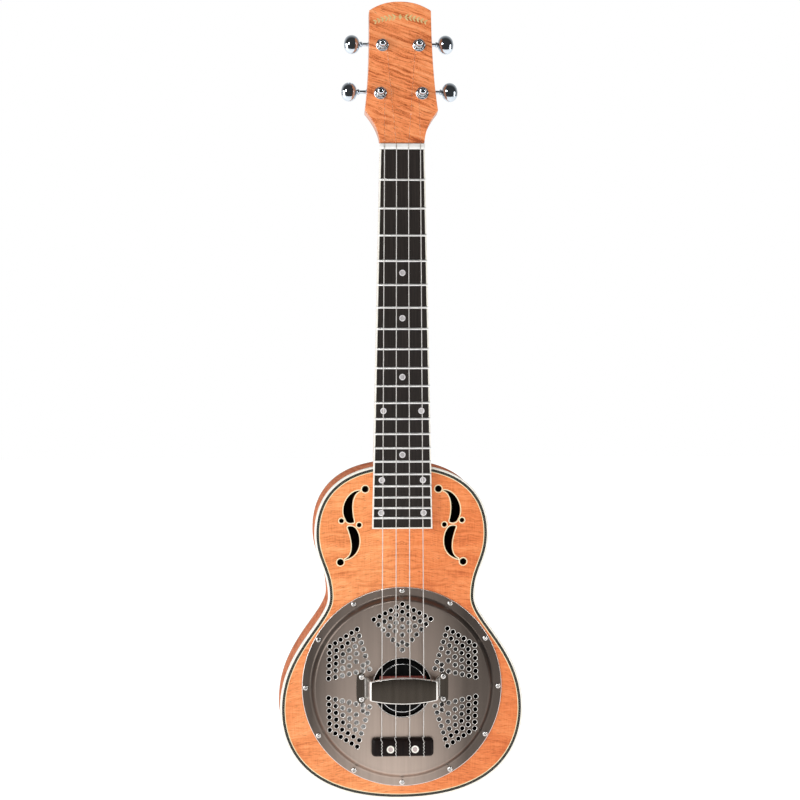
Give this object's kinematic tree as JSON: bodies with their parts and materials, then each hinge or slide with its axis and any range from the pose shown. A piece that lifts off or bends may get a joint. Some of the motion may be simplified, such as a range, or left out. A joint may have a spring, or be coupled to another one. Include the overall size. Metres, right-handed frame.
{
  "type": "resonator ukulele",
  "caption": "Small resonator string instrument: flamed maple body, perforated round coverplate with handrest, fretted neck, tilted headstock with worm-geared tuners.",
  "frame": {"origin": "centreline of the neck, on the plane where the fingerboard meets neck and soundboard, at the nut's fingerboard side", "axes": "+Z along the neck from tail to headstock, +Y from the soundboard through the body to the back, +X to the viewer's right when the strings face the viewer"},
  "size_m": [0.197, 0.085, 0.6456],
  "materials": {
    "curly_maple": "clear gloss over amber stain, flamed figure",
    "side_maple": "clear gloss over pinkish brown stain",
    "inner_wood": "unfinished",
    "rosewood": "oiled, near black",
    "black_biscuit": "ebonised",
    "saddle_wood": "oiled reddish",
    "ivory_plastic": "polished",
    "bone": "satin",
    "brushed_nickel": "brushed nickel plate",
    "spun_aluminium": "spun, bright",
    "chrome": "polished",
    "plated_steel": "bright plated",
    "string_plastic": "clear white"
  },
  "bodies": {
    "instrument": {"soundboard": "curly_maple", "headstock_veneer": "curly_maple", "back": "side_maple", "sides": "side_maple", "neck": "side_maple", "neck_block": "inner_wood", "tail_block": "inner_wood", "front_lining": "inner_wood", "back_lining": "inner_wood", "sound_well": "inner_wood", "front_binding": "ivory_plastic", "back_binding": "ivory_plastic", "fingerboard_binding": "ivory_plastic", "resonator_cone": "spun_aluminium", "biscuit": "black_biscuit", "saddle": "saddle_wood", "biscuit_screw": "plated_steel", "coverplate": "brushed_nickel", "handrest": "brushed_nickel", "string_anchor": "rosewood", "fingerboard": "rosewood", "nut": "bone", "string_low_left": "string_plastic", "string_inner_left": "string_plastic", "string_inner_right": "string_plastic", "string_low_right": "string_plastic", "coverplate_screw_1": "plated_steel", "coverplate_screw_2": "plated_steel", "coverplate_screw_3": "plated_steel", "coverplate_screw_4": "plated_steel", "coverplate_screw_5": "plated_steel", "coverplate_screw_6": "plated_steel", "coverplate_screw_7": "plated_steel", "coverplate_screw_8": "plated_steel", "coverplate_screw_9": "plated_steel", "coverplate_screw_10": "plated_steel", "coverplate_screw_11": "plated_steel", "coverplate_screw_12": "plated_steel", "handrest_screw_1": "plated_steel", "handrest_screw_2": "plated_steel", "handrest_screw_3": "plated_steel", "handrest_screw_4": "plated_steel", "anchor_screw_1": "plated_steel", "anchor_screw_2": "plated_steel", "tuner_housing_upper_left": "chrome", "tuner_bushing_upper_left": "chrome", "tuner_housing_lower_left": "chrome", "tuner_bushing_lower_left": "chrome", "tuner_housing_upper_right": "chrome", "tuner_bushing_upper_right": "chrome", "tuner_housing_lower_right": "chrome", "tuner_bushing_lower_right": "chrome"},
    "button_upper_left": {"tuner_shaft_upper_left": "chrome"},
    "post_upper_left": {"tuner_post_upper_left": "chrome"},
    "button_lower_left": {"tuner_shaft_lower_left": "chrome"},
    "post_lower_left": {"tuner_post_lower_left": "chrome"},
    "button_upper_right": {"tuner_shaft_upper_right": "chrome"},
    "post_upper_right": {"tuner_post_upper_right": "chrome"},
    "button_lower_right": {"tuner_shaft_lower_right": "chrome"},
    "post_lower_right": {"tuner_post_lower_right": "chrome"}
  },
  "joints": [
    {"name": "button_turn_upper_left", "type": "hinge", "parent": "instrument", "child": "button_upper_left", "pos_m": [-0.0148, 0.03755, 0.08716], "axis": [1, 0, 0], "continuous": true},
    {"name": "post_turn_upper_left", "type": "hinge", "parent": "instrument", "child": "post_upper_left", "pos_m": [-0.0148, 0.03604, 0.08002], "axis": [0, 0.9781, -0.2079], "continuous": true},
    {"name": "button_turn_lower_left", "type": "hinge", "parent": "instrument", "child": "button_lower_left", "pos_m": [-0.0168, 0.02924, 0.04804], "axis": [1, 0, 0], "continuous": true},
    {"name": "post_turn_lower_left", "type": "hinge", "parent": "instrument", "child": "post_lower_left", "pos_m": [-0.0168, 0.02772, 0.0409], "axis": [0, 0.9781, -0.2079], "continuous": true},
    {"name": "button_turn_upper_right", "type": "hinge", "parent": "instrument", "child": "button_upper_right", "pos_m": [0.0148, 0.03755, 0.08716], "axis": [1, 0, 0], "continuous": true},
    {"name": "post_turn_upper_right", "type": "hinge", "parent": "instrument", "child": "post_upper_right", "pos_m": [0.0148, 0.03604, 0.08002], "axis": [0, 0.9781, -0.2079], "continuous": true},
    {"name": "button_turn_lower_right", "type": "hinge", "parent": "instrument", "child": "button_lower_right", "pos_m": [0.0168, 0.02924, 0.04804], "axis": [1, 0, 0], "continuous": true},
    {"name": "post_turn_lower_right", "type": "hinge", "parent": "instrument", "child": "post_lower_right", "pos_m": [0.0168, 0.02772, 0.0409], "axis": [0, 0.9781, -0.2079], "continuous": true}
  ],
  "couplings": [
    {"joint": "post_turn_upper_left", "follows": "button_turn_upper_left", "ratio": 0.071429},
    {"joint": "post_turn_lower_left", "follows": "button_turn_lower_left", "ratio": 0.071429},
    {"joint": "post_turn_upper_right", "follows": "button_turn_upper_right", "ratio": -0.071429},
    {"joint": "post_turn_lower_right", "follows": "button_turn_lower_right", "ratio": -0.071429}
  ]
}
